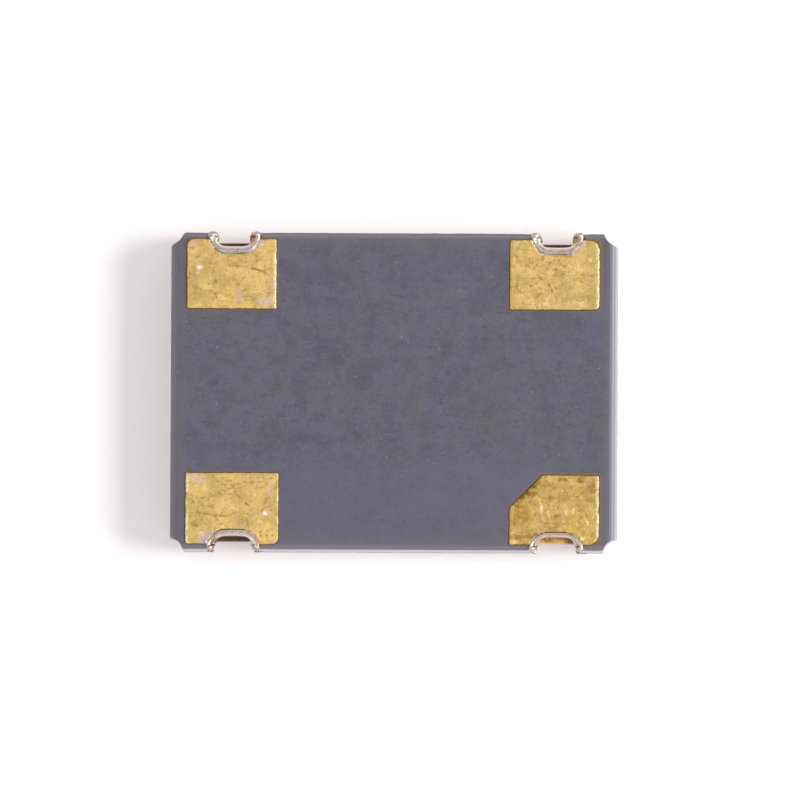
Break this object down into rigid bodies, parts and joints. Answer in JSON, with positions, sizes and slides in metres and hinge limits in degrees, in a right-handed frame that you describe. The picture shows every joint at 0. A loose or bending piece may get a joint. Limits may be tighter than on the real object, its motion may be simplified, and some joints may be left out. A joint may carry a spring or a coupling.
{
  "type": "crystal oscillator",
  "caption": "Flat ceramic surface-mount clock oscillator lying on its metal lid, with gold solder lands, plated edge notches, and chip and quartz blank inside.",
  "frame": {"origin": "centre of the lid's outer face, which is the bottom of the part as it lies", "axes": "+X along the long side, +Y along the short side, +Z out of the solder lands; terminal 1 is at +X, -Y"},
  "size_m": [0.007, 0.005, 0.0014],
  "materials": {
    "ceramic": "matte",
    "land_plating": "satin",
    "inner_plating": "satin",
    "bond_wire": "polished",
    "lid_nickel": "satin",
    "ring_alloy": "satin",
    "braze": "satin",
    "rim_nickel": "satin",
    "silver_epoxy": "matte",
    "silicon": "gloss",
    "chip_aluminium": "satin",
    "quartz": "gloss",
    "electrode_silver": "satin"
  },
  "bodies": {
    "root": {"ceramic_base": "ceramic", "pad_enable": "land_plating", "pad_ground": "land_plating", "pad_output": "land_plating", "pad_supply": "land_plating", "seal_land": "rim_nickel", "ring_braze": "braze", "seal_ring": "ring_alloy", "lid": "lid_nickel", "lead_enable": "inner_plating", "lead_ground": "inner_plating", "lead_output": "inner_plating", "lead_supply": "inner_plating", "lead_crystal_a": "inner_plating", "lead_crystal_b": "inner_plating", "die_land": "inner_plating", "die_attach": "silver_epoxy", "ic_die": "silicon", "die_pads": "chip_aluminium", "wire_enable": "bond_wire", "wire_ground": "bond_wire", "wire_output": "bond_wire", "wire_supply": "bond_wire", "wire_crystal_a": "bond_wire", "wire_crystal_b": "bond_wire", "adhesive_a": "silver_epoxy", "adhesive_b": "silver_epoxy", "quartz_blank": "quartz", "electrode_outer": "electrode_silver", "electrode_inner": "electrode_silver"}
  },
  "joints": []
}
